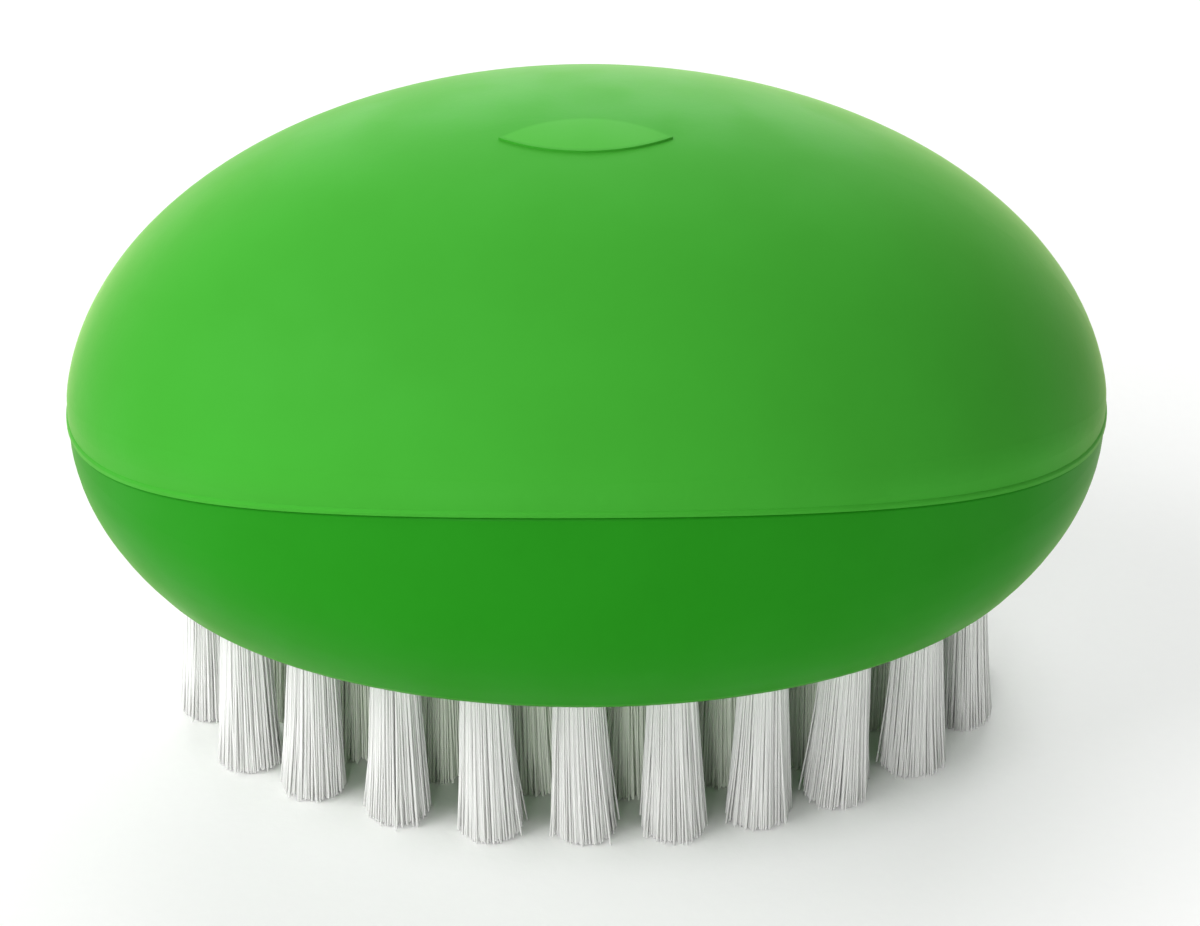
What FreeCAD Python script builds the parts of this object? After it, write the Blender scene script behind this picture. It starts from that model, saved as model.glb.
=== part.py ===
import FreeCAD, Part
import Sketcher
import math
import os

# A palm-held vegetable brush: a soft domed grip over a rigid core, a base shell
# below an arched seam, and a plate of bristle tufts folded over wire anchors.
# Lengths are millimetres. The origin lies on the floor under the middle of the
# brush, at the bristle tips; +X runs along the brush and +Z points up.

BODY_SIZES = (
    ("body_length", 94.6),
    ("body_width", 64.8),
    ("end_swell", 0.2),
    ("side_swell", 2.6),
    ("dome_rise", 30.3),
    ("base_depth", 13.5),
    ("bristle_length", 17.5),
    ("seam_crown", 9.9),
    ("seam_radius", 123.0),
    ("seam_gap", 0.15),
    ("overrun", 2.0),
)

COVER_SIZES = (
    ("cover_wall", 2.6),
    ("lip_roll", 6.0),
    ("bead_height", 0.7),
    ("bead_rise", 0.15),
    ("bead_round", 0.4),
    ("pad_length", 15.3),
    ("pad_width", 5.3),
    ("pad_rise", 0.2),
    ("pad_forward", 2.6),
)

CORE_SIZES = (
    ("core_wall", 2.2),
    ("bond_gap", 0.05),
    ("spigot_wall", 2.6),
    ("spigot_clearance", 0.1),
    ("rib_wall", 1.8),
    ("rib_pitch", 21.0),
    ("seat_gap", 0.05),
)

BASE_SIZES = (
    ("lip_step", 0.05),
    ("bowl_depth", 27.7),
    ("base_wall", 2.4),
    ("base_edge_round", 2.5),
    ("rim_round", 0.3),
)

PLATE_SIZES = (
    ("plate_margin", 2.0),
    ("plate_thickness", 9.0),
    ("flange_step", 2.8),
    ("flange_thickness", 4.0),
    ("plate_clearance", 0.15),
)

TUFT_SIZES = (
    ("ring_margin", 3.7),
    ("row_pitch", 7.4),
    ("tuft_pitch", 8.5),
    ("hole_diameter", 4.4),
    ("hole_depth", 7.0),
    ("tuft_clearance", 0.05),
    ("tip_diameter", 6.0),
    ("flute_depth", 0.45),
    ("flute_width", 0.9),
    ("fold_bevel", 1.0),
    ("fold_cover", 1.1),
    ("anchor_bite", 0.4),
    ("anchor_height", 1.8),
    ("anchor_gauge", 0.5),
    ("anchor_clearance", 0.02),
)

TUFT_COUNTS = (
    ("flute_count", 9),
)

# The rings of tufts from the outside in; rings past the last name share it.
RING_NAMES = ("outer_tuft", "middle_tuft", "inner_tuft")

# Where the outer ring starts beside the front middle, and how far every second
# ring is turned on from it, as shares of a ring's own spacing, so that tufts
# stand in the gaps of the ring outside them.
RING_START_SHARE = -0.1
RING_TURN_SHARE = 0.5

RING_SAMPLES = 720

# Levels and half sizes that several pieces share, as sheet expressions.
UNDERSIDE = "Sizes.bristle_length"
MIDDLE = "(Sizes.bristle_length + Sizes.base_depth)"
WALL_HALF_LENGTH = "Sizes.body_length / 2"
WALL_HALF_WIDTH = "Sizes.body_width / 2"
DOME_HALF_LENGTH = "(Sizes.body_length / 2 + Sizes.end_swell)"
DOME_HALF_WIDTH = "(Sizes.body_width / 2 + Sizes.side_swell)"
BASE_HALF_LENGTH = "(Sizes.body_length / 2 - Sizes.lip_step)"
BASE_HALF_WIDTH = "(Sizes.body_width / 2 - Sizes.lip_step)"
UNDERSIDE_SHARE = "sqrt(1 - (Sizes.base_depth / Sizes.bowl_depth) ^ 2)"
PLATE_HALF_LENGTH = "(" + BASE_HALF_LENGTH + " * " + UNDERSIDE_SHARE + " - Sizes.plate_margin)"
PLATE_HALF_WIDTH = "(" + BASE_HALF_WIDTH + " * " + UNDERSIDE_SHARE + " - Sizes.plate_margin)"
PLATE_BACK = "(Sizes.bristle_length + Sizes.plate_thickness)"
LEDGE = "(" + PLATE_BACK + " - Sizes.flange_thickness)"
CORE_INSET = "(Sizes.cover_wall + Sizes.bond_gap)"
ROOT_RADIUS = "(Sizes.hole_diameter / 2 - Sizes.tuft_clearance)"
ROOT_LENGTH = "(Sizes.hole_depth - Sizes.tuft_clearance)"
ANCHOR_TOP = "(" + UNDERSIDE + " + " + ROOT_LENGTH + " - Sizes.fold_cover)"
ANCHOR_LENGTH = "(Sizes.hole_diameter + 2 * Sizes.anchor_bite)"


def bind(item, bindings):
    """Tie an object's properties to sheet expressions."""
    for name, expression in bindings.items():
        item.setExpression(name, expression)


def make_sheet(doc):
    """Put every driving dimension in one sheet, each under its own alias."""
    sheet = doc.addObject("Spreadsheet::Sheet", "Sizes")
    sizes = BODY_SIZES + COVER_SIZES + CORE_SIZES + BASE_SIZES + PLATE_SIZES + TUFT_SIZES + TUFT_COUNTS
    for row, (name, value) in enumerate(sizes, 1):
        sheet.set("A%d" % row, name)
        sheet.set("B%d" % row, str(value))
        sheet.setAlias("B%d" % row, name)
    doc.recompute()
    return sheet


def ellipsoid(doc, name, half_length, half_width, rise):
    """An ellipsoid whose widest level is the body's widest level."""
    item = doc.addObject("Part::Ellipsoid", name)
    bind(item, {
        "Radius1": rise,
        "Radius2": half_length,
        "Radius3": half_width,
        "Placement.Base.z": MIDDLE,
    })
    return item


def dome_ellipsoid(doc, name, inset):
    """The dome's ellipsoid drawn in by an even inset."""
    half_length = DOME_HALF_LENGTH + " - " + inset
    half_width = DOME_HALF_WIDTH + " - " + inset
    return ellipsoid(doc, name, half_length, half_width, "Sizes.dome_rise - " + inset)


def arch(doc, name, radius):
    """A barrel across the brush; its crown is the arched parting surface."""
    item = doc.addObject("Part::Cylinder", name)
    item.Placement.Rotation = FreeCAD.Rotation(FreeCAD.Vector(1, 0, 0), 90)
    bind(item, {
        "Radius": radius,
        "Height": "Sizes.body_width + 2 * Sizes.overrun",
        "Placement.Base.y": "Sizes.body_width / 2 + Sizes.overrun",
        "Placement.Base.z": MIDDLE + " + Sizes.seam_crown - Sizes.seam_radius",
    })
    return item


def oval_block(doc, name, half_length, half_width, bottom, height):
    """An upright block with an elliptical outline."""
    outline = doc.addObject("Part::Ellipse", name + "_outline")
    bind(outline, {"MajorRadius": half_length, "MinorRadius": half_width, "Placement.Base.z": bottom})
    item = doc.addObject("Part::Extrusion", name)
    item.Base = outline
    item.DirMode = "Custom"
    item.Dir = FreeCAD.Vector(0, 0, 1)
    item.Solid = True
    bind(item, {"LengthFwd": height})
    return item


def centred_box(doc, name, length, width, height, bottom):
    """A box centred on the upright axis."""
    item = doc.addObject("Part::Box", name)
    bind(item, {
        "Length": length,
        "Width": width,
        "Height": height,
        "Placement.Base.x": "-(" + length + ") / 2",
        "Placement.Base.y": "-(" + width + ") / 2",
        "Placement.Base.z": bottom,
    })
    return item


def boolean(doc, kind, name, base, tool):
    """A cut, common or fuse of two objects."""
    item = doc.addObject("Part::" + kind, name)
    item.Base = base
    item.Tool = tool
    return item


def joined(doc, name, pieces):
    """One object fused from several."""
    item = doc.addObject("Part::MultiFuse", name)
    item.Shapes = pieces
    return item


def round_edges(doc, name, base, numbered_radii):
    """Round edges of an object; each entry is an edge number and a radius."""
    item = doc.addObject("Part::Fillet", name)
    item.Base = base
    item.Edges = [(number, radius, radius) for number, radius in numbered_radii]
    return item


def outline_edges(shape):
    """Numbers of the edges that run right round the brush, lowest first."""
    rings = []
    for number, edge in enumerate(shape.Edges, 1):
        if edge.Degenerated:
            continue
        if edge.isClosed():
            rings.append((edge.CenterOfMass.z, number))
    rings.sort()
    return [number for level, number in rings]


def make_rolled_dome(doc, sheet):
    """The dome's outer form, whose flank rolls over into the upright oval wall."""
    pebble = ellipsoid(doc, "pebble", DOME_HALF_LENGTH, DOME_HALF_WIDTH, "Sizes.dome_rise")
    wall = oval_block(doc, "dome_wall", WALL_HALF_LENGTH, WALL_HALF_WIDTH, MIDDLE, "Sizes.dome_rise")
    block = boolean(doc, "Common", "dome_block", pebble, wall)
    doc.recompute()
    crease = outline_edges(block.Shape)[-1]
    return round_edges(doc, "rolled_dome", block, [(crease, sheet.lip_roll)])


def make_lip_bead(doc, sheet):
    """The slim bead round the foot of the dome, from the seam up to its rounded edge."""
    out = " + Sizes.bead_rise"
    wall = oval_block(
        doc, "bead_wall", WALL_HALF_LENGTH + out, WALL_HALF_WIDTH + out, MIDDLE, "Sizes.dome_rise")
    top = arch(doc, "bead_arch", "Sizes.seam_radius + Sizes.bead_height")
    block = boolean(doc, "Common", "bead_block", wall, top)
    doc.recompute()
    edge = outline_edges(block.Shape)[-1]
    return round_edges(doc, "lip_bead", block, [(edge, sheet.bead_round)])


def make_pad(doc):
    """The low lens-shaped pad that stands on the dome just before its top."""
    lens_radius = "(Sizes.pad_length ^ 2 / 4 + Sizes.pad_width ^ 2 / 4) / Sizes.pad_width"
    arc_shift = "(" + lens_radius + " - Sizes.pad_width / 2)"
    arcs = []
    for name, side in (("pad_front_arc", " - "), ("pad_back_arc", " + ")):
        disc = doc.addObject("Part::Cylinder", name)
        bind(disc, {
            "Radius": lens_radius,
            "Height": "Sizes.cover_wall + Sizes.pad_rise",
            "Placement.Base.y": "-Sizes.pad_forward" + side + arc_shift,
            "Placement.Base.z": MIDDLE + " + Sizes.dome_rise - Sizes.cover_wall",
        })
        arcs.append(disc)
    lens = boolean(doc, "Common", "pad_lens", arcs[0], arcs[1])
    top = dome_ellipsoid(doc, "pad_top", "(-Sizes.pad_rise)")
    return boolean(doc, "Common", "pad", lens, top)


def make_grip_cover(doc, sheet):
    """The soft skin over the dome, with its bead and pad, parted at the arched seam."""
    forms = [make_rolled_dome(doc, sheet), make_lip_bead(doc, sheet), make_pad(doc)]
    outer = joined(doc, "cover_outer", forms)
    parting = arch(doc, "cover_arch", "Sizes.seam_radius + Sizes.seam_gap / 2")
    above_seam = boolean(doc, "Cut", "cover_above_seam", outer, parting)
    inner = dome_ellipsoid(doc, "cover_inner", "Sizes.cover_wall")
    return boolean(doc, "Cut", "grip_cover", above_seam, inner)


def make_core_ribs(doc, spigot_length, spigot_width):
    """Crossed ribs that fill the dome down to the back of the tuft plate."""
    bottom = PLATE_BACK + " + Sizes.seat_gap"
    height = "Sizes.base_depth - Sizes.plate_thickness - Sizes.seat_gap + Sizes.dome_rise"
    bars = [centred_box(doc, "long_rib", "Sizes.body_length", "Sizes.rib_wall", height, bottom)]
    cross_ribs = (("left_rib", "-Sizes.rib_pitch"), ("middle_rib", "0"), ("right_rib", "Sizes.rib_pitch"))
    for name, place in cross_ribs:
        bar = centred_box(doc, name, "Sizes.rib_wall", "Sizes.body_width", height, bottom)
        bar.setExpression("Placement.Base.x", place + " - Sizes.rib_wall / 2")
        bars.append(bar)
    grid = joined(doc, "rib_grid", bars)
    inset = " - Sizes.spigot_wall / 2"
    plug = oval_block(doc, "rib_plug", spigot_length + inset, spigot_width + inset, bottom, height)
    dome = dome_ellipsoid(doc, "rib_dome", "(" + CORE_INSET + " + Sizes.core_wall / 2)")
    inside = boolean(doc, "Common", "rib_room", plug, dome)
    return boolean(doc, "Common", "core_ribs", grid, inside)


def make_grip_core(doc):
    """The rigid dome under the skin, with its ribs and its spigot."""
    outer = dome_ellipsoid(doc, "core_outer", CORE_INSET)
    inner = dome_ellipsoid(doc, "core_inner", "(" + CORE_INSET + " + Sizes.core_wall)")
    shell = boolean(doc, "Cut", "core_shell", outer, inner)
    parting = arch(doc, "core_arch", "Sizes.seam_radius + Sizes.seam_gap / 2")
    dome = boolean(doc, "Cut", "core_dome", shell, parting)
    fit = "Sizes.base_wall - Sizes.spigot_clearance"
    spigot_length = BASE_HALF_LENGTH + " - " + fit
    spigot_width = BASE_HALF_WIDTH + " - " + fit
    bottom = PLATE_BACK + " + Sizes.seat_gap"
    height = "Sizes.base_depth - Sizes.plate_thickness - Sizes.seat_gap + Sizes.dome_rise"
    plug = oval_block(doc, "spigot_outer", spigot_length, spigot_width, bottom, height)
    wall = " - Sizes.spigot_wall"
    hollow = oval_block(doc, "spigot_inner", spigot_length + wall, spigot_width + wall, bottom, height)
    tube = boolean(doc, "Cut", "spigot_tube", plug, hollow)
    trim = dome_ellipsoid(doc, "spigot_trim", CORE_INSET)
    spigot = boolean(doc, "Common", "spigot", tube, trim)
    ribs = make_core_ribs(doc, spigot_length, spigot_width)
    return joined(doc, "grip_core", [dome, spigot, ribs])


def make_base_block(doc):
    """The base's outer form: an upright oval wall running into a rounded bowl."""
    bowl = ellipsoid(doc, "base_bowl", BASE_HALF_LENGTH, BASE_HALF_WIDTH, "Sizes.bowl_depth")
    bowl.Angle2 = 0
    wall = oval_block(doc, "base_wall_block", BASE_HALF_LENGTH, BASE_HALF_WIDTH, MIDDLE, "Sizes.dome_rise")
    form = boolean(doc, "Fuse", "base_form", bowl, wall)
    parting = arch(doc, "base_arch", "Sizes.seam_radius - Sizes.seam_gap / 2")
    below_seam = boolean(doc, "Common", "base_below_seam", form, parting)
    length = "Sizes.body_length + 2 * Sizes.overrun"
    width = "Sizes.body_width + 2 * Sizes.overrun"
    bottom = UNDERSIDE + " - Sizes.bowl_depth"
    below = centred_box(doc, "below_underside", length, width, "Sizes.bowl_depth", bottom)
    return boolean(doc, "Cut", "base_block", below_seam, below)


def make_base_hollow(doc):
    """The room inside the base: plate window, flange seat and spigot mouth."""
    ease = " + Sizes.plate_clearance"
    window_length = PLATE_HALF_LENGTH + ease
    window_width = PLATE_HALF_WIDTH + ease
    start = UNDERSIDE + " - Sizes.overrun"
    depth = "Sizes.plate_thickness + Sizes.overrun"
    window = oval_block(doc, "plate_window", window_length, window_width, start, depth)
    seat_length = window_length + " + Sizes.flange_step"
    seat_width = window_width + " + Sizes.flange_step"
    seat_depth = "Sizes.flange_thickness + Sizes.overrun"
    seat = oval_block(doc, "flange_seat", seat_length, seat_width, LEDGE, seat_depth)
    mouth_length = BASE_HALF_LENGTH + " - Sizes.base_wall"
    mouth_width = BASE_HALF_WIDTH + " - Sizes.base_wall"
    mouth_depth = "Sizes.base_depth + Sizes.dome_rise"
    mouth = oval_block(doc, "spigot_mouth", mouth_length, mouth_width, PLATE_BACK, mouth_depth)
    return joined(doc, "base_hollow", [window, seat, mouth])


def make_base_shell(doc, sheet):
    """The lower shell: rounded outside edges, hollowed for plate and spigot."""
    block = make_base_block(doc)
    doc.recompute()
    rings = outline_edges(block.Shape)
    radii = [(rings[0], sheet.base_edge_round), (rings[-1], sheet.rim_round)]
    rounded = round_edges(doc, "base_rounded", block, radii)
    return boolean(doc, "Cut", "base_shell", rounded, make_base_hollow(doc))


def ring_places(half_length, half_width, pitch, start_share):
    """Even steps of about one pitch along an ellipse, from near its front middle."""
    points = []
    for step in range(RING_SAMPLES + 1):
        turn = 2 * math.pi * step / RING_SAMPLES
        points.append((half_length * math.sin(turn), -half_width * math.cos(turn)))
    travelled = [0.0]
    for first, second in zip(points, points[1:]):
        travelled.append(travelled[-1] + math.dist(first, second))
    count = round(travelled[-1] / pitch)
    places = []
    for number in range(count):
        target = travelled[-1] * ((number + start_share) / count % 1)
        step = next(index for index, run in enumerate(travelled[1:]) if run >= target)
        step_share = (target - travelled[step]) / (travelled[step + 1] - travelled[step])
        x_place = points[step][0] + step_share * (points[step + 1][0] - points[step][0])
        y_place = points[step][1] + step_share * (points[step + 1][1] - points[step][1])
        places.append((x_place, y_place))
    return places


def centre_row_places(half_length, pitch):
    """A tuft in the middle, and even steps of one pitch to either side of it."""
    reach = int(half_length / pitch)
    return [(number * pitch, 0.0) for number in range(-reach, reach + 1)]


def tuft_places(sheet, plate_outline):
    """The name and place of every tuft: rings inside the plate, then a middle row."""
    half_length = plate_outline.MajorRadius.Value - sheet.ring_margin
    half_width = plate_outline.MinorRadius.Value - sheet.ring_margin
    rows = {name: [] for name in RING_NAMES}
    ring = 0
    while half_width > sheet.row_pitch / 2:
        name = RING_NAMES[min(ring, len(RING_NAMES) - 1)]
        start_share = RING_START_SHARE + ring % 2 * RING_TURN_SHARE
        rows[name] += ring_places(half_length, half_width, sheet.tuft_pitch, start_share)
        half_length -= sheet.row_pitch
        half_width -= sheet.row_pitch
        ring += 1
    if half_width > 0:
        rows["centre_tuft"] = centre_row_places(half_length, sheet.tuft_pitch)
    places = []
    for name, row in rows.items():
        for number, (x_place, y_place) in enumerate(row, 1):
            places.append(("%s_%02d" % (name, number), x_place, y_place))
    return places


def anchor_box(doc, name, x_place, y_place, ease):
    """A flat wire anchor, or its slot when it is eased on every side."""
    item = doc.addObject("Part::Box", name)
    item.Placement.Base = FreeCAD.Vector(x_place, y_place, 0)
    bind(item, {
        "Length": ANCHOR_LENGTH + " + 2 * " + ease,
        "Width": "Sizes.anchor_gauge + 2 * " + ease,
        "Height": "Sizes.anchor_height + 2 * " + ease,
        "Placement.Base.z": ANCHOR_TOP + " - Sizes.anchor_height - " + ease,
    })
    return item


def centre_box_on(item, x_place, y_place):
    """Move a box so that its middle stands on a tuft's axis."""
    x_corner = x_place - item.Length.Value / 2
    y_corner = y_place - item.Width.Value / 2
    item.Placement.Base = FreeCAD.Vector(x_corner, y_corner, item.Placement.Base.z)


def make_anchors(doc, places):
    """One flat wire anchor across the foot of every tuft hole."""
    boxes = []
    for name, x_place, y_place in places:
        boxes.append(anchor_box(doc, "anchor_of_" + name, x_place, y_place, "0"))
    doc.recompute()
    for box, (name, x_place, y_place) in zip(boxes, places):
        centre_box_on(box, x_place, y_place)
    group = doc.addObject("Part::Compound", "tuft_anchors")
    group.Links = boxes
    return group


def make_plate_blank(doc):
    """The plate before its holes: a boss in the window and a flange."""
    boss = oval_block(
        doc, "plate_boss", PLATE_HALF_LENGTH, PLATE_HALF_WIDTH, UNDERSIDE, "Sizes.plate_thickness")
    flange_length = PLATE_HALF_LENGTH + " + Sizes.flange_step"
    flange_width = PLATE_HALF_WIDTH + " + Sizes.flange_step"
    flange = oval_block(
        doc, "plate_flange", flange_length, flange_width, LEDGE, "Sizes.flange_thickness")
    blank = boolean(doc, "Fuse", "plate_blank", boss, flange)
    doc.recompute()
    return blank


def make_tuft_plate(doc, blank, places):
    """The plate that carries the tufts, with a blind hole and a slot for each."""
    holes = []
    slots = []
    for name, x_place, y_place in places:
        hole = doc.addObject("Part::Cylinder", "hole_of_" + name)
        hole.Placement.Base = FreeCAD.Vector(x_place, y_place, 0)
        bind(hole, {
            "Radius": "Sizes.hole_diameter / 2",
            "Height": "Sizes.hole_depth + Sizes.overrun",
            "Placement.Base.z": UNDERSIDE + " - Sizes.overrun",
        })
        holes.append(hole)
        slots.append(anchor_box(doc, "slot_of_" + name, x_place, y_place, "Sizes.anchor_clearance"))
    doc.recompute()
    for slot, (name, x_place, y_place) in zip(slots, places):
        centre_box_on(slot, x_place, y_place)
    return boolean(doc, "Cut", "tuft_plate", blank, joined(doc, "plate_holes", holes + slots))


def plane(body, role):
    """One of a body's own origin planes or axes."""
    return next(item for item in body.Origin.OriginFeatures if item.Role == role)


def new_sketch(body, name, role):
    """An empty sketch on one of the body's origin planes."""
    sketch = body.newObject("Sketcher::SketchObject", name)
    sketch.AttachmentSupport = [(plane(body, role), "")]
    sketch.MapMode = "FlatFace"
    return sketch


def closed_outline(sketch, points):
    """Straight sides through the points, closed corner to corner."""
    corners = [FreeCAD.Vector(x_place, y_place, 0) for x_place, y_place in points]
    for first, second in zip(corners, corners[1:] + corners[:1]):
        sketch.addGeometry(Part.LineSegment(first, second), False)
    for side in range(len(corners)):
        sketch.addConstraint(Sketcher.Constraint("Coincident", side, 2, (side + 1) % len(corners), 1))


def size_constraint(sketch, name, kind, first, second, value, expression):
    """A named distance between two sketch points, tied to the sheet."""
    constraint = Sketcher.Constraint(kind, first[0], first[1], second[0], second[1], value)
    number = sketch.addConstraint(constraint)
    sketch.renameConstraint(number, name)
    sketch.setExpression("Constraints." + name, expression)


def draw_tuft_profile(body, sheet):
    """Half of a tuft's section: a straight root and a bundle that spreads."""
    sketch = new_sketch(body, "tuft_profile", "XZ_Plane")
    tip = sheet.tip_diameter / 2
    root = sheet.hole_diameter / 2 - sheet.tuft_clearance
    mouth = sheet.bristle_length
    top = mouth + sheet.hole_depth - sheet.tuft_clearance
    closed_outline(sketch, [(0, 0), (tip, 0), (root, mouth), (root, top), (0, top)])
    sketch.addConstraint(Sketcher.Constraint("Coincident", 0, 1, -1, 1))
    for kind, side in (("Horizontal", 0), ("Vertical", 2), ("Horizontal", 3), ("Vertical", 4)):
        sketch.addConstraint(Sketcher.Constraint(kind, side))
    size_constraint(sketch, "tip", "DistanceX", (0, 1), (0, 2), tip, "Sizes.tip_diameter / 2")
    size_constraint(sketch, "root", "DistanceX", (3, 2), (3, 1), root, ROOT_RADIUS)
    size_constraint(sketch, "mouth", "DistanceY", (0, 2), (2, 1), mouth, "Sizes.bristle_length")
    size_constraint(sketch, "depth", "DistanceY", (2, 1), (2, 2), top - mouth, ROOT_LENGTH)
    return sketch


def draw_notch(body, sheet, name, apex, apex_expression):
    """A pointed notch at the bundle's edge, open outwards past the surface."""
    sketch = new_sketch(body, name, "XY_Plane")
    reach = 2 * sheet.flute_depth
    half = sheet.flute_width
    closed_outline(sketch, [(apex, 0), (apex + reach, half), (apex + reach, -half)])
    sketch.addConstraint(Sketcher.Constraint("PointOnObject", 0, 1, -1))
    sketch.addConstraint(Sketcher.Constraint("Symmetric", 1, 1, 1, 2, -1))
    size_constraint(sketch, "apex", "DistanceX", (-1, 1), (0, 1), apex, apex_expression)
    size_constraint(sketch, "reach", "DistanceX", (0, 1), (1, 1), reach, "2 * Sizes.flute_depth")
    size_constraint(sketch, "width", "DistanceY", (1, 2), (1, 1), 2 * half, "2 * Sizes.flute_width")
    return sketch


def draw_anchor_slot(body, sheet):
    """The passage through a tuft's fold that its anchor lies in."""
    sketch = new_sketch(body, "tuft_slot", "YZ_Plane")
    half = sheet.anchor_gauge / 2 + sheet.anchor_clearance
    top = sheet.bristle_length + sheet.hole_depth - sheet.tuft_clearance - sheet.fold_cover
    bottom = top - sheet.anchor_height
    closed_outline(sketch, [(-half, bottom), (half, bottom), (half, top), (-half, top)])
    for kind, side in (("Vertical", 1), ("Horizontal", 2), ("Vertical", 3)):
        sketch.addConstraint(Sketcher.Constraint(kind, side))
    sketch.addConstraint(Sketcher.Constraint("Symmetric", 0, 1, 0, 2, -2))
    gauge = "Sizes.anchor_gauge + 2 * Sizes.anchor_clearance"
    size_constraint(sketch, "gauge", "DistanceX", (0, 1), (0, 2), 2 * half, gauge)
    height = "Sizes.anchor_height + 2 * Sizes.anchor_clearance"
    size_constraint(sketch, "height", "DistanceY", (1, 1), (1, 2), top - bottom, height)
    level = ANCHOR_TOP + " + Sizes.anchor_clearance"
    size_constraint(sketch, "level", "DistanceY", (-1, 1), (2, 1), top, level)
    return sketch


def cut_flutes(doc, body, sheet):
    """Notches round the bundle that open towards the tips, like its strands."""
    tip = sheet.tip_diameter / 2 - sheet.flute_depth
    low = draw_notch(body, sheet, "tip_notch", tip, "Sizes.tip_diameter / 2 - Sizes.flute_depth")
    root = sheet.hole_diameter / 2 - sheet.tuft_clearance
    high = draw_notch(body, sheet, "root_notch", root, ROOT_RADIUS)
    high.setExpression("AttachmentOffset.Base.z", "Sizes.bristle_length")
    doc.recompute()
    flute = body.newObject("PartDesign::SubtractiveLoft", "tuft_flute")
    flute.Profile = low
    flute.Sections = [high]
    flute.Ruled = True
    doc.recompute()
    pattern = body.newObject("PartDesign::PolarPattern", "tuft_flutes")
    pattern.Originals = [flute]
    pattern.Axis = (plane(body, "Z_Axis"), [""])
    pattern.Angle = 360
    pattern.setExpression("Occurrences", "Sizes.flute_count")
    body.Tip = pattern
    doc.recompute()


def make_tuft_form(doc, sheet):
    """One tuft: a folded root, a spreading bundle and the anchor's passage."""
    body = doc.addObject("PartDesign::Body", "tuft_form")
    profile = draw_tuft_profile(body, sheet)
    turned = body.newObject("PartDesign::Revolution", "tuft_bundle")
    turned.Profile = profile
    turned.ReferenceAxis = (profile, ["V_Axis"])
    turned.Angle = 360
    doc.recompute()
    top = turned.Shape.BoundBox.ZMax
    fold_edges = []
    for number, edge in enumerate(turned.Shape.Edges, 1):
        if edge.isClosed() and math.isclose(edge.CenterOfMass.z, top):
            fold_edges.append("Edge%d" % number)
    fold = body.newObject("PartDesign::Chamfer", "tuft_fold")
    fold.Base = (turned, fold_edges)
    fold.setExpression("Size", "Sizes.fold_bevel")
    doc.recompute()
    slot = body.newObject("PartDesign::Pocket", "tuft_passage")
    slot.Profile = draw_anchor_slot(body, sheet)
    slot.Type = "ThroughAll"
    slot.Midplane = True
    doc.recompute()
    cut_flutes(doc, body, sheet)
    return body


def make_tufts(doc, sheet, places):
    """A tuft at every place, all of one form."""
    form = make_tuft_form(doc, sheet)
    tufts = []
    for name, x_place, y_place in places:
        tuft = doc.addObject("Part::Feature", name)
        tuft.Shape = form.Shape.copy()
        tuft.Placement = FreeCAD.Placement(FreeCAD.Vector(x_place, y_place, 0), FreeCAD.Rotation())
        tufts.append(tuft)
    return tufts


def check_document(doc, pieces):
    """Stop if any object failed, or a piece is empty or not sound."""
    for item in doc.Objects:
        for state in item.State:
            if state in ("Invalid", "Error"):
                raise RuntimeError(item.Name + " is " + state)
    for piece in pieces:
        if piece.Shape.isNull() or not piece.Shape.isValid() or not piece.Shape.Solids:
            raise RuntimeError(piece.Name + " has no sound solid")


def main():
    doc = FreeCAD.newDocument("vegetable_brush")
    sheet = make_sheet(doc)
    plate_blank = make_plate_blank(doc)
    places = tuft_places(sheet, doc.plate_boss_outline)
    pieces = [
        make_grip_cover(doc, sheet),
        make_grip_core(doc),
        make_base_shell(doc, sheet),
        make_tuft_plate(doc, plate_blank, places),
        make_anchors(doc, places),
    ]
    pieces += make_tufts(doc, sheet, places)
    doc.recompute()
    check_document(doc, pieces)
    os.makedirs("parts", exist_ok=True)
    for piece in pieces:
        piece.Label = piece.Name
        piece.Shape.exportStep("parts/" + piece.Label + ".step")
        print(piece.Label, len(piece.Shape.Solids), round(piece.Shape.Volume, 2))


main()
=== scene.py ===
import math

import bmesh
import bpy
import numpy as np
from mathutils import Matrix, Vector


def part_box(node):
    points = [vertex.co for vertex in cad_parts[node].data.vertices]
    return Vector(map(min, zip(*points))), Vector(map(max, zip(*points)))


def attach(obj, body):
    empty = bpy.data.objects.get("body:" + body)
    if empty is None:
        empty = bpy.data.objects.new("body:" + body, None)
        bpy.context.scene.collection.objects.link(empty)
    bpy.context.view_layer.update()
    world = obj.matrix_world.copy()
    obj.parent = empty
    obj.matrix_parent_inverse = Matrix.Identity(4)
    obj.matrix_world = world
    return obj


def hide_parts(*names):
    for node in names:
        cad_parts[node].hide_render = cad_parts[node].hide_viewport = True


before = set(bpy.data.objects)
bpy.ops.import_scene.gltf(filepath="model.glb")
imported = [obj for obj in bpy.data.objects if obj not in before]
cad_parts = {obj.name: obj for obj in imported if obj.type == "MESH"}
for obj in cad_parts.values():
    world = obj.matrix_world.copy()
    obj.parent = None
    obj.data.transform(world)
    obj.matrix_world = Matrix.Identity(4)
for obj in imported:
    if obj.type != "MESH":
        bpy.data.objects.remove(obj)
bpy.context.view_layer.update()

# Lengths are metres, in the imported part's own frame: the bristle tips stand on
# the floor at zero, +X runs along the brush and +Z points up.

# The photograph's frame, and a camera fitted to it.
IMAGE_WIDTH = 1200
IMAGE_HEIGHT = 926
BODY_PIXEL = (586.9, 409.0)
PIXELS_PER_METRE = 10938
BODY_LEVEL = 0.031
CAMERA_DISTANCE = 0.450
CAMERA_ELEVATION = math.radians(32.8)
CAMERA_ROLL = math.radians(0.23)
SENSOR_MILLIMETRES = 36.0

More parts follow.
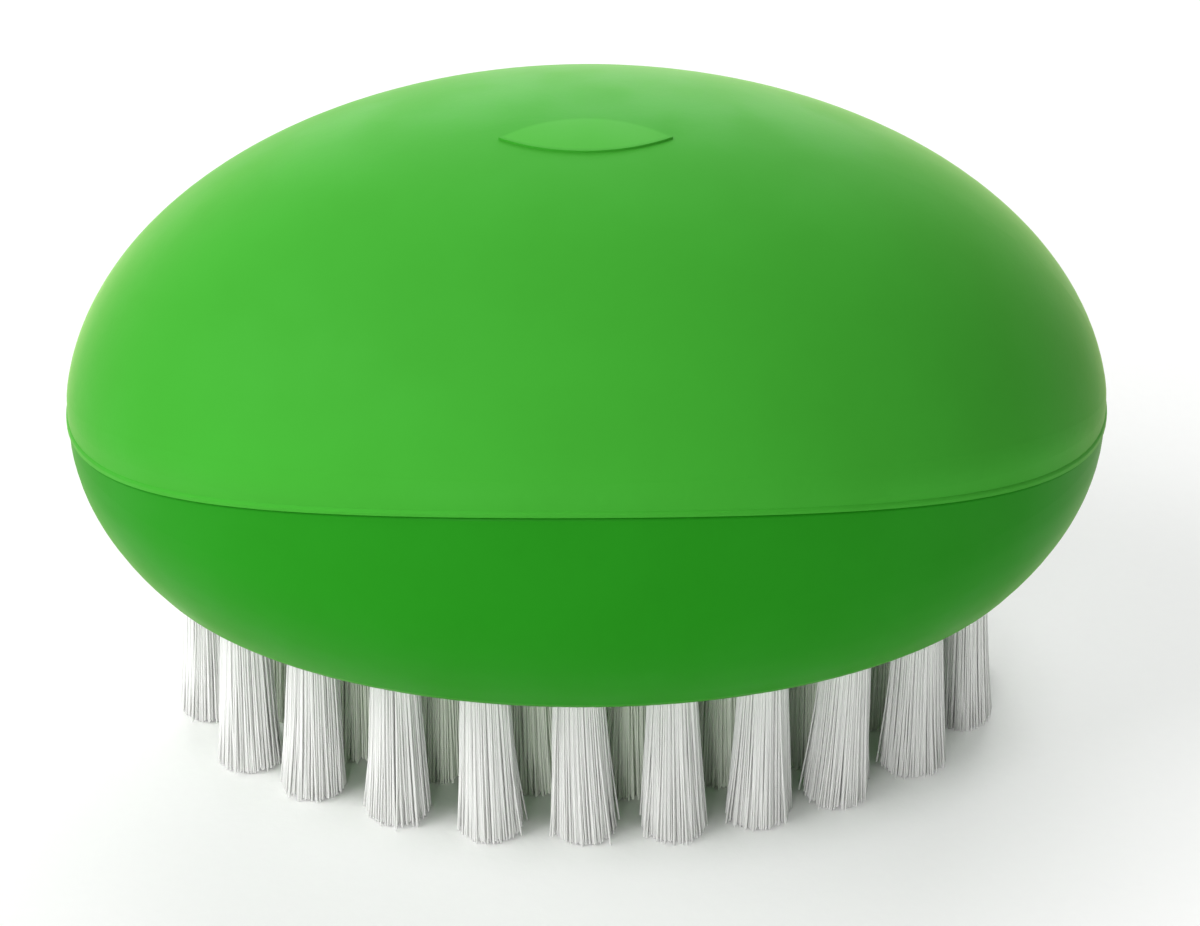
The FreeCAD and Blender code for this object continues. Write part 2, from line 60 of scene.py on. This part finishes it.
# The studio: a pale round floor, even light from all round, and square lamps,
# each with its place, its size and the level it lights a facing surface to.
FLOOR_RADIUS = 3.0
FLOOR_SIDES = 96
WORLD_LEVEL = 0.25
DIFFUSE_BOUNCES = 8
LAMPS = {
    "key_lamp": ((-0.56, -0.18, 0.62), 0.60, 0.90),
    "back_lamp": ((0.05, 0.55, 0.55), 0.60, 0.43),
    "rim_lamp": ((0.00, 0.75, 0.32), 0.60, 0.56),
    "front_lamp": ((-0.20, -0.75, 0.10), 0.20, 0.32),
}

# The floor is seen as it is lit in an oval under the brush, and whiter outside it.
FLOOR_WHITE_SHARE = 0.48
SHADE_LENGTH = 0.082
SHADE_WIDTH = 0.054
SHADE_RIM_SHARES = (0.75, 1.15)

# Colours are linear light; a finish varies between the two colours of its pair.
GRIP_GREENS = ((0.046, 0.358, 0.027), (0.044, 0.343, 0.025))
# The pad is painted paler than the rest of the grip: a painted highlight on its top.
PAD_PAINTED_HIGHLIGHT_GREEN = (0.064, 0.405, 0.038)
BASE_GREENS = ((0.014, 0.255, 0.007), (0.013, 0.244, 0.006))
PLATE_GREENS = ((0.100, 0.560, 0.060), (0.094, 0.540, 0.056))
CORE_GREENS = ((0.012, 0.210, 0.008), (0.010, 0.195, 0.007))
OUTER_NYLONS = ((0.92, 0.92, 0.91), (0.97, 0.97, 0.96))
# The inner tufts are the same white nylon as the outer ones, painted darker and greener: painted
# shade, and painted green light reflected from the body above them.
INNER_NYLONS_PAINTED_SHADE = ((0.87, 0.92, 0.82), (0.92, 0.97, 0.87))
WIRE_STEELS = ((0.45, 0.45, 0.44), (0.62, 0.62, 0.60))
FLOOR_PAPERS = ((0.91, 0.91, 0.90), (0.88, 0.88, 0.87))
WHITE = (1, 1, 1, 1)

# Roughness varies between two values in the same way; gloss is the specular level.
GRIP_ROUGHNESS = (0.50, 0.58)
SATIN_ROUGHNESS = (0.42, 0.50)
CORE_ROUGHNESS = (0.45, 0.55)
NYLON_ROUGHNESS = (0.30, 0.42)
WIRE_ROUGHNESS = (0.28, 0.45)
FLOOR_ROUGHNESS = 0.85
GRIP_GLOSS = 0.05
SATIN_GLOSS = 0.06
FLOOR_GLOSS = 0.2
GRIP_SHEEN = 0.36
GRIP_SHEEN_TINT = (0.95, 1.0, 0.50, 1)
SATIN_SHEEN = 0.18
SATIN_SHEEN_TINT = (0.80, 1.0, 0.30, 1)
SHEEN_ROUGHNESS = 0.35
NYLON_CLEAR_SHARE = 0.15

# The fine relief of the surfaces. A moulded grain has a size and a depth, and a
# drawn grain a size and how closely it is packed along each axis.
MOTTLE_SIZE = 0.010
GRIP_GRAIN = (0.00035, 0.000012)
BASE_GRAIN = (0.00025, 0.000008)
STRAND_GRAIN = 0.0004
STRAND_SHARES = (1, 1, 0.1)
WIRE_GRAIN = 0.0001
WIRE_SHARES = (0.05, 1, 1)
FIBRE_SIZE = 0.0012
FIBRE_DEPTH = 0.00006
RELIEF_STRENGTH = 0.5
COARSE_DETAIL = 3
FINE_DETAIL = 2
NOISE_SPAN_SHARES = (0.3, 0.7)

# The lens-shaped pad on the crown: two arcs that meet at its ends.
PAD_LENGTH = 0.0153
PAD_WIDTH = 0.0053
PAD_FORWARD = 0.0026
PAD_EDGE = 0.0004
PAD_ARC_RADIUS = (PAD_LENGTH ** 2 + PAD_WIDTH ** 2) / (4 * PAD_WIDTH)
PAD_ARC_SHIFT = PAD_ARC_RADIUS - PAD_WIDTH / 2

# The filaments of one tuft.
FILAMENT_COUNT = 700
FILAMENT_RADIUS = 0.000092
FILAMENT_SIDES = 5
PATH_STEPS = 5
ROOT_SUNK = 0.0020
SPREAD_POWER = 1.5
TIP_JITTER = 0.00010
BOW = 0.00007
TUFT_LEAN = 0.00030
SHORTEST_CUT = 0.0011
CUT_JITTER = 0.00026
STRAY_SHARE = 0.07
STRAY_SPREAD = 0.0007
TIP_ROUND_SHARE = 0.6
GOLDEN_ANGLE = math.pi * (3 - math.sqrt(5))


def placed(name, data):
    """A new object in the scene."""
    thing = bpy.data.objects.new(name, data)
    bpy.context.scene.collection.objects.link(thing)
    return thing


def new_material(name):
    """A material, its node tree and its main shader."""
    material = bpy.data.materials.new(name)
    material.use_nodes = True
    shader = material.node_tree.nodes["Principled BSDF"]
    return material, material.node_tree, shader


def object_place(tree):
    """The socket that gives a point's place in the part's own frame."""
    return tree.nodes.new("ShaderNodeTexCoord").outputs["Object"]


def stretched(tree, place, scales):
    """A place scaled along each axis, for a grain with a direction or a flat plan."""
    node = tree.nodes.new("ShaderNodeMapping")
    node.inputs["Scale"].default_value = scales
    tree.links.new(place, node.inputs["Vector"])
    return node.outputs["Vector"]


def reach(tree, place, centre):
    """How far a place lies from a fixed centre."""
    node = tree.nodes.new("ShaderNodeVectorMath")
    node.operation = "DISTANCE"
    node.inputs[1].default_value = centre
    tree.links.new(place, node.inputs[0])
    return node.outputs["Value"]


def combined(tree, operation, first, second):
    """Two shares put together by one operation, kept between zero and one."""
    node = tree.nodes.new("ShaderNodeMath")
    node.operation = operation
    node.use_clamp = True
    tree.links.new(first, node.inputs[0])
    tree.links.new(second, node.inputs[1])
    return node.outputs["Value"]


def ramp(tree, value, limits, results, kind="LINEAR"):
    """A number that runs between two results as a value runs between its limits."""
    node = tree.nodes.new("ShaderNodeMapRange")
    node.interpolation_type = kind
    for name, number in zip(("From Min", "From Max", "To Min", "To Max"), (*limits, *results)):
        node.inputs[name].default_value = number
    tree.links.new(value, node.inputs["Value"])
    return node.outputs["Result"]


def noise(tree, place, feature_size, detail):
    """Noise whose blotches are about one feature size across."""
    node = tree.nodes.new("ShaderNodeTexNoise")
    node.inputs["Scale"].default_value = 1 / feature_size
    node.inputs["Detail"].default_value = detail
    tree.links.new(place, node.inputs["Vector"])
    return node.outputs["Fac"]


def between(tree, factor, low, high):
    """A number that runs from low to high with the middle of a noise."""
    return ramp(tree, factor, NOISE_SPAN_SHARES, (low, high))


def set_colour(tree, socket, colour):
    """Give a colour input a fixed colour, or another node's."""
    if isinstance(colour, tuple):
        socket.default_value = (*colour, 1)
    else:
        tree.links.new(colour, socket)


def two_colours(tree, factor, first, second):
    """A colour that runs from the first to the second with a factor."""
    node = tree.nodes.new("ShaderNodeMix")
    node.data_type = "RGBA"
    set_colour(tree, node.inputs["A"], first)
    set_colour(tree, node.inputs["B"], second)
    tree.links.new(factor, node.inputs["Factor"])
    return node.outputs["Result"]


def bump(tree, shader, height, depth):
    """Fine relief, so many metres deep, on a shader's normal."""
    node = tree.nodes.new("ShaderNodeBump")
    node.inputs["Strength"].default_value = RELIEF_STRENGTH
    node.inputs["Distance"].default_value = depth
    tree.links.new(height, node.inputs["Height"])
    tree.links.new(node.outputs["Normal"], shader.inputs["Normal"])


def blended(tree, first, second, output):
    """Show a mix of two shaders, and give the socket for the second one's share."""
    node = tree.nodes.new("ShaderNodeMixShader")
    tree.links.new(first, node.inputs[1])
    tree.links.new(second, node.inputs[2])
    tree.links.new(node.outputs["Shader"], tree.nodes[output].inputs["Surface"])
    return node.inputs["Fac"]


def seen(tree):
    """One for rays that see the background, and zero for rays that light."""
    path = tree.nodes.new("ShaderNodeLightPath")
    total = path.outputs["Is Camera Ray"]
    for kind in ("Is Glossy Ray", "Is Transmission Ray"):
        total = combined(tree, "ADD", total, path.outputs[kind])
    return total


def moulded(name, colours, roughness, grain):
    """A moulded plastic or rubber: faint mottle, fine spark-eroded grain."""
    material, tree, shader = new_material(name)
    place = object_place(tree)
    mottle = between(tree, noise(tree, place, MOTTLE_SIZE, COARSE_DETAIL), 0, 1)
    tree.links.new(two_colours(tree, mottle, *colours), shader.inputs["Base Color"])
    tree.links.new(between(tree, mottle, *roughness), shader.inputs["Roughness"])
    grain_size, grain_depth = grain
    bump(tree, shader, noise(tree, place, grain_size, FINE_DETAIL), grain_depth)
    return material, shader


def soften(shader, gloss, sheen, tint):
    """A faint gloss, and a tinted bloom at grazing angles."""
    shader.inputs["Specular IOR Level"].default_value = gloss
    shader.inputs["Sheen Weight"].default_value = sheen
    shader.inputs["Sheen Roughness"].default_value = SHEEN_ROUGHNESS
    shader.inputs["Sheen Tint"].default_value = tint


def pad_highlight_share(tree, place):
    """Where the pad's painted highlight lies: one on the pad, falling to zero at its rim."""
    flat = stretched(tree, place, (1, 1, 0))
    rim = (PAD_ARC_RADIUS, PAD_ARC_RADIUS - PAD_EDGE)
    insides = []
    for side in (-1, 1):
        centre = (0, side * PAD_ARC_SHIFT - PAD_FORWARD, 0)
        insides.append(ramp(tree, reach(tree, flat, centre), rim, (0, 1)))
    return combined(tree, "MINIMUM", *insides)


def grip_material():
    """Soft-touch rubber: matte, with a pale bloom at grazing angles, and the pad painted paler as a
    painted highlight.
    """
    material, shader = moulded("soft_grip_rubber", GRIP_GREENS, GRIP_ROUGHNESS, GRIP_GRAIN)
    tree = material.node_tree
    body_colour = shader.inputs["Base Color"].links[0].from_socket
    # Paint the paler pad colour over the grip: a painted highlight.
    tone = two_colours(tree, pad_highlight_share(tree, object_place(tree)), body_colour, PAD_PAINTED_HIGHLIGHT_GREEN)
    tree.links.new(tone, shader.inputs["Base Color"])
    soften(shader, GRIP_GLOSS, GRIP_SHEEN, GRIP_SHEEN_TINT)
    return material


def satin_material(name, colours):
    """Satin plastic of the lower shell and of the tuft plate."""
    material, shader = moulded(name, colours, SATIN_ROUGHNESS, BASE_GRAIN)
    soften(shader, SATIN_GLOSS, SATIN_SHEEN, SATIN_SHEEN_TINT)
    return material


def core_material():
    """Plain plastic of the hidden core."""
    return moulded("core_plastic", CORE_GREENS, CORE_ROUGHNESS, BASE_GRAIN)[0]


def nylon_material(name, colours):
    """Translucent filament, each strand of its own tone between two colours."""
    material, tree, shader = new_material(name)
    strand = tree.nodes.new("ShaderNodeNewGeometry").outputs["Random Per Island"]
    tone = two_colours(tree, strand, *colours)
    tree.links.new(tone, shader.inputs["Base Color"])
    drawn = noise(tree, stretched(tree, object_place(tree), STRAND_SHARES), STRAND_GRAIN, FINE_DETAIL)
    tree.links.new(between(tree, drawn, *NYLON_ROUGHNESS), shader.inputs["Roughness"])
    through = tree.nodes.new("ShaderNodeBsdfTranslucent")
    tree.links.new(tone, through.inputs["Color"])
    share = blended(tree, shader.outputs["BSDF"], through.outputs["BSDF"], "Material Output")
    share.default_value = NYLON_CLEAR_SHARE
    return material


def wire_material():
    """Flat drawn wire with fine lines along its length."""
    material, tree, shader = new_material("anchor_drawn_wire")
    lines = noise(tree, stretched(tree, object_place(tree), WIRE_SHARES), WIRE_GRAIN, COARSE_DETAIL)
    tree.links.new(two_colours(tree, lines, *WIRE_STEELS), shader.inputs["Base Color"])
    tree.links.new(between(tree, lines, *WIRE_ROUGHNESS), shader.inputs["Roughness"])
    shader.inputs["Metallic"].default_value = 1
    return material


def white_share(tree, place):
    """How far the floor is drawn towards white: not under the brush, but beside it."""
    oval = stretched(tree, place, (2 / SHADE_LENGTH, 2 / SHADE_WIDTH, 0))
    outward = reach(tree, oval, (0, 0, 0))
    beside = ramp(tree, outward, SHADE_RIM_SHARES, (0, FLOOR_WHITE_SHARE), "SMOOTHSTEP")
    return combined(tree, "MULTIPLY", seen(tree), beside)


def floor_material():
    """Pale paper; what the camera sees of it beside the brush is drawn towards white."""
    material, tree, shader = new_material("floor_paper")
    place = object_place(tree)
    fibre = noise(tree, place, FIBRE_SIZE, COARSE_DETAIL)
    tree.links.new(two_colours(tree, fibre, *FLOOR_PAPERS), shader.inputs["Base Color"])
    shader.inputs["Roughness"].default_value = FLOOR_ROUGHNESS
    shader.inputs["Specular IOR Level"].default_value = FLOOR_GLOSS
    bump(tree, shader, fibre, FIBRE_DEPTH)
    white = tree.nodes.new("ShaderNodeEmission")
    share = blended(tree, shader.outputs["BSDF"], white.outputs["Emission"], "Material Output")
    tree.links.new(white_share(tree, place), share)
    return material


def dress_nodes():
    """Give the CAD nodes that show as they are their finishes."""
    finishes = {
        "grip_cover": grip_material(),
        "grip_core": core_material(),
        "base_shell": satin_material("base_satin_plastic", BASE_GREENS),
        "tuft_plate": satin_material("plate_satin_plastic", PLATE_GREENS),
        "tuft_anchors": wire_material(),
    }
    for node, material in finishes.items():
        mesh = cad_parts[node].data
        mesh.materials.clear()
        mesh.materials.append(material)


def tuft_form(node, mouth):
    """A tuft's axis, and its radius in the hole and at the tips, from its solid."""
    points = np.array([vertex.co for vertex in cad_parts[node].data.vertices])
    low, high = points.min(0), points.max(0)
    axis = (low + high)[:2] / 2
    outward = np.hypot(*(points[:, :2] - axis).T)
    root = outward[points[:, 2] > mouth].max()
    return axis, root, outward.max()


def filament_paths(random, axis, root_radius, tip_radius, mouth):
    """Where each filament of a tuft runs, from inside its hole to its cut end."""
    number = np.arange(FILAMENT_COUNT)
    turn = number * GOLDEN_ANGLE + random.uniform(0, 2 * math.pi)
    ray = np.stack([np.cos(turn), np.sin(turn)], 1)
    out_share = np.sqrt((2 * number + 1) / (2 * FILAMENT_COUNT))
    root = ray * (out_share * (root_radius - FILAMENT_RADIUS))[:, None]
    tip = ray * (out_share * (tip_radius - FILAMENT_RADIUS))[:, None]
    tip += random.normal(0, TIP_JITTER, (FILAMENT_COUNT, 2))
    stray = random.random(FILAMENT_COUNT) < STRAY_SHARE
    tip += ray * (stray * random.uniform(0, STRAY_SPREAD, FILAMENT_COUNT))[:, None]
    tip += random.normal(0, TUFT_LEAN, 2)
    cut = np.minimum(np.abs(random.normal(0, CUT_JITTER, FILAMENT_COUNT)), SHORTEST_CUT)
    bow = random.normal(0, BOW, (FILAMENT_COUNT, 2))
    share = np.linspace(0, 1, PATH_STEPS)
    spread = share ** SPREAD_POWER
    swell = np.sin(share * math.pi)
    flat = root[:, None] + (tip - root)[:, None] * spread[:, None] + bow[:, None] * swell[:, None]
    top = mouth + ROOT_SUNK
    level = top + (cut - top)[:, None] * share
    return np.concatenate([flat + axis, level[:, :, None]], 2)


def tube_mesh(name, paths):
    """Closed round tubes along many upright paths, as one mesh."""
    count = len(paths)
    ends = paths[:, -1:].copy()
    paths = np.concatenate([paths, ends], 1)
    paths[:, -2, 2] += FILAMENT_RADIUS * TIP_ROUND_SHARE
    rings = paths.shape[1]
    radius = np.full(rings, FILAMENT_RADIUS)
    radius[-1] *= TIP_ROUND_SHARE
    turn = np.arange(FILAMENT_SIDES) * 2 * math.pi / FILAMENT_SIDES
    circle = np.stack([np.cos(turn), np.sin(turn), np.zeros(FILAMENT_SIDES)], 1)
    points = paths[:, :, None] + circle * radius[:, None, None]
    grid = np.arange(count * rings * FILAMENT_SIDES).reshape(count, rings, FILAMENT_SIDES)
    beside = np.roll(grid, -1, 2)
    sides = np.stack([grid[:, 1:], beside[:, 1:], beside[:, :-1], grid[:, :-1]], 3).reshape(-1, 4)
    faces = sides.tolist()
    faces += grid[:, 0].tolist()
    faces += grid[:, -1, ::-1].tolist()
    mesh = bpy.data.meshes.new(name)
    mesh.from_pydata(points.reshape(-1, 3).tolist(), [], faces)
    mesh.polygons.foreach_set("use_smooth", [True] * len(mesh.polygons))
    return mesh


def make_tufts():
    """A bundle of filaments in place of every tuft solid."""
    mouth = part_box("tuft_plate")[0].z
    outer_nylon = nylon_material("bristle_nylon", OUTER_NYLONS)
    # The inner tufts get a darker, greener copy of the nylon: painted shade and painted green
    # reflected light.
    inner_nylon_painted_shade = nylon_material("bristle_nylon_inner_painted_shade", INNER_NYLONS_PAINTED_SHADE)
    nodes = sorted(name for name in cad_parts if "_tuft_" in name)
    for seed, node in enumerate(nodes):
        random = np.random.default_rng(seed)
        axis, root_radius, tip_radius = tuft_form(node, mouth)
        paths = filament_paths(random, axis, root_radius, tip_radius, mouth)
        mesh = tube_mesh(node + "_filaments", paths)
        mesh.materials.append(outer_nylon if node.startswith("outer") else inner_nylon_painted_shade)
        tuft = placed(node + "_filaments", mesh)
        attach(tuft, "root")
        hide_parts(node)


def make_floor():
    """A round paper floor under the bristle tips."""
    mesh = bpy.data.meshes.new("floor")
    shape = bmesh.new()
    bmesh.ops.create_circle(shape, cap_ends=True, segments=FLOOR_SIDES, radius=FLOOR_RADIUS)
    shape.to_mesh(mesh)
    shape.free()
    mesh.materials.append(floor_material())
    floor = placed("floor", mesh)


def make_world():
    """Even light from all round; seen directly, it is white."""
    world = bpy.data.worlds.new("studio")
    bpy.context.scene.world = world
    world.use_nodes = True
    tree = world.node_tree
    light = tree.nodes["Background"]
    light.inputs["Color"].default_value = WHITE
    light.inputs["Strength"].default_value = WORLD_LEVEL
    white = tree.nodes.new("ShaderNodeBackground")
    white.inputs["Color"].default_value = WHITE
    share = blended(tree, light.outputs["Background"], white.outputs["Background"], "World Output")
    tree.links.new(seen(tree), share)


def add_lamp(name, place, size, level):
    """A square soft lamp that lights a facing surface to one level."""
    lamp = bpy.data.lights.new(name, "AREA")
    lamp.size = size
    away = Vector(place) - Vector((0, 0, BODY_LEVEL))
    lamp.energy = level * math.pi ** 2 * away.length_squared
    holder = placed(name, lamp)
    holder.location = place
    holder.rotation_euler = away.to_track_quat("Z", "Y").to_euler()


def add_camera():
    """The photograph's camera, aimed so that the body falls on its pixel."""
    right = Vector((1, 0, 0))
    ahead = Vector((0, math.cos(CAMERA_ELEVATION), -math.sin(CAMERA_ELEVATION)))
    upward = right.cross(ahead)
    focal_pixels = PIXELS_PER_METRE * CAMERA_DISTANCE
    aside = IMAGE_WIDTH / 2 - BODY_PIXEL[0]
    below = IMAGE_HEIGHT / 2 - BODY_PIXEL[1]
    aim = (ahead * focal_pixels + right * aside - upward * below).normalized()
    tilted = right * math.cos(CAMERA_ROLL) - upward * math.sin(CAMERA_ROLL)
    back = -aim
    side = (tilted - back * tilted.dot(back)).normalized()
    head = back.cross(side)
    camera = placed("camera", bpy.data.cameras.new("camera"))
    camera.data.sensor_width = SENSOR_MILLIMETRES
    camera.data.lens = SENSOR_MILLIMETRES * focal_pixels / IMAGE_WIDTH
    turned = Matrix((side, head, back)).transposed().to_4x4()
    place = Vector((0, 0, BODY_LEVEL)) - ahead * CAMERA_DISTANCE
    camera.matrix_world = Matrix.Translation(place) @ turned
    bpy.context.scene.camera = camera


dress_nodes()
make_tufts()
make_floor()
make_world()
for lamp_name, lamp_form in LAMPS.items():
    add_lamp(lamp_name, *lamp_form)
add_camera()
bpy.context.scene.view_settings.view_transform = "Standard"
bpy.context.scene.cycles.diffuse_bounces = DIFFUSE_BOUNCES
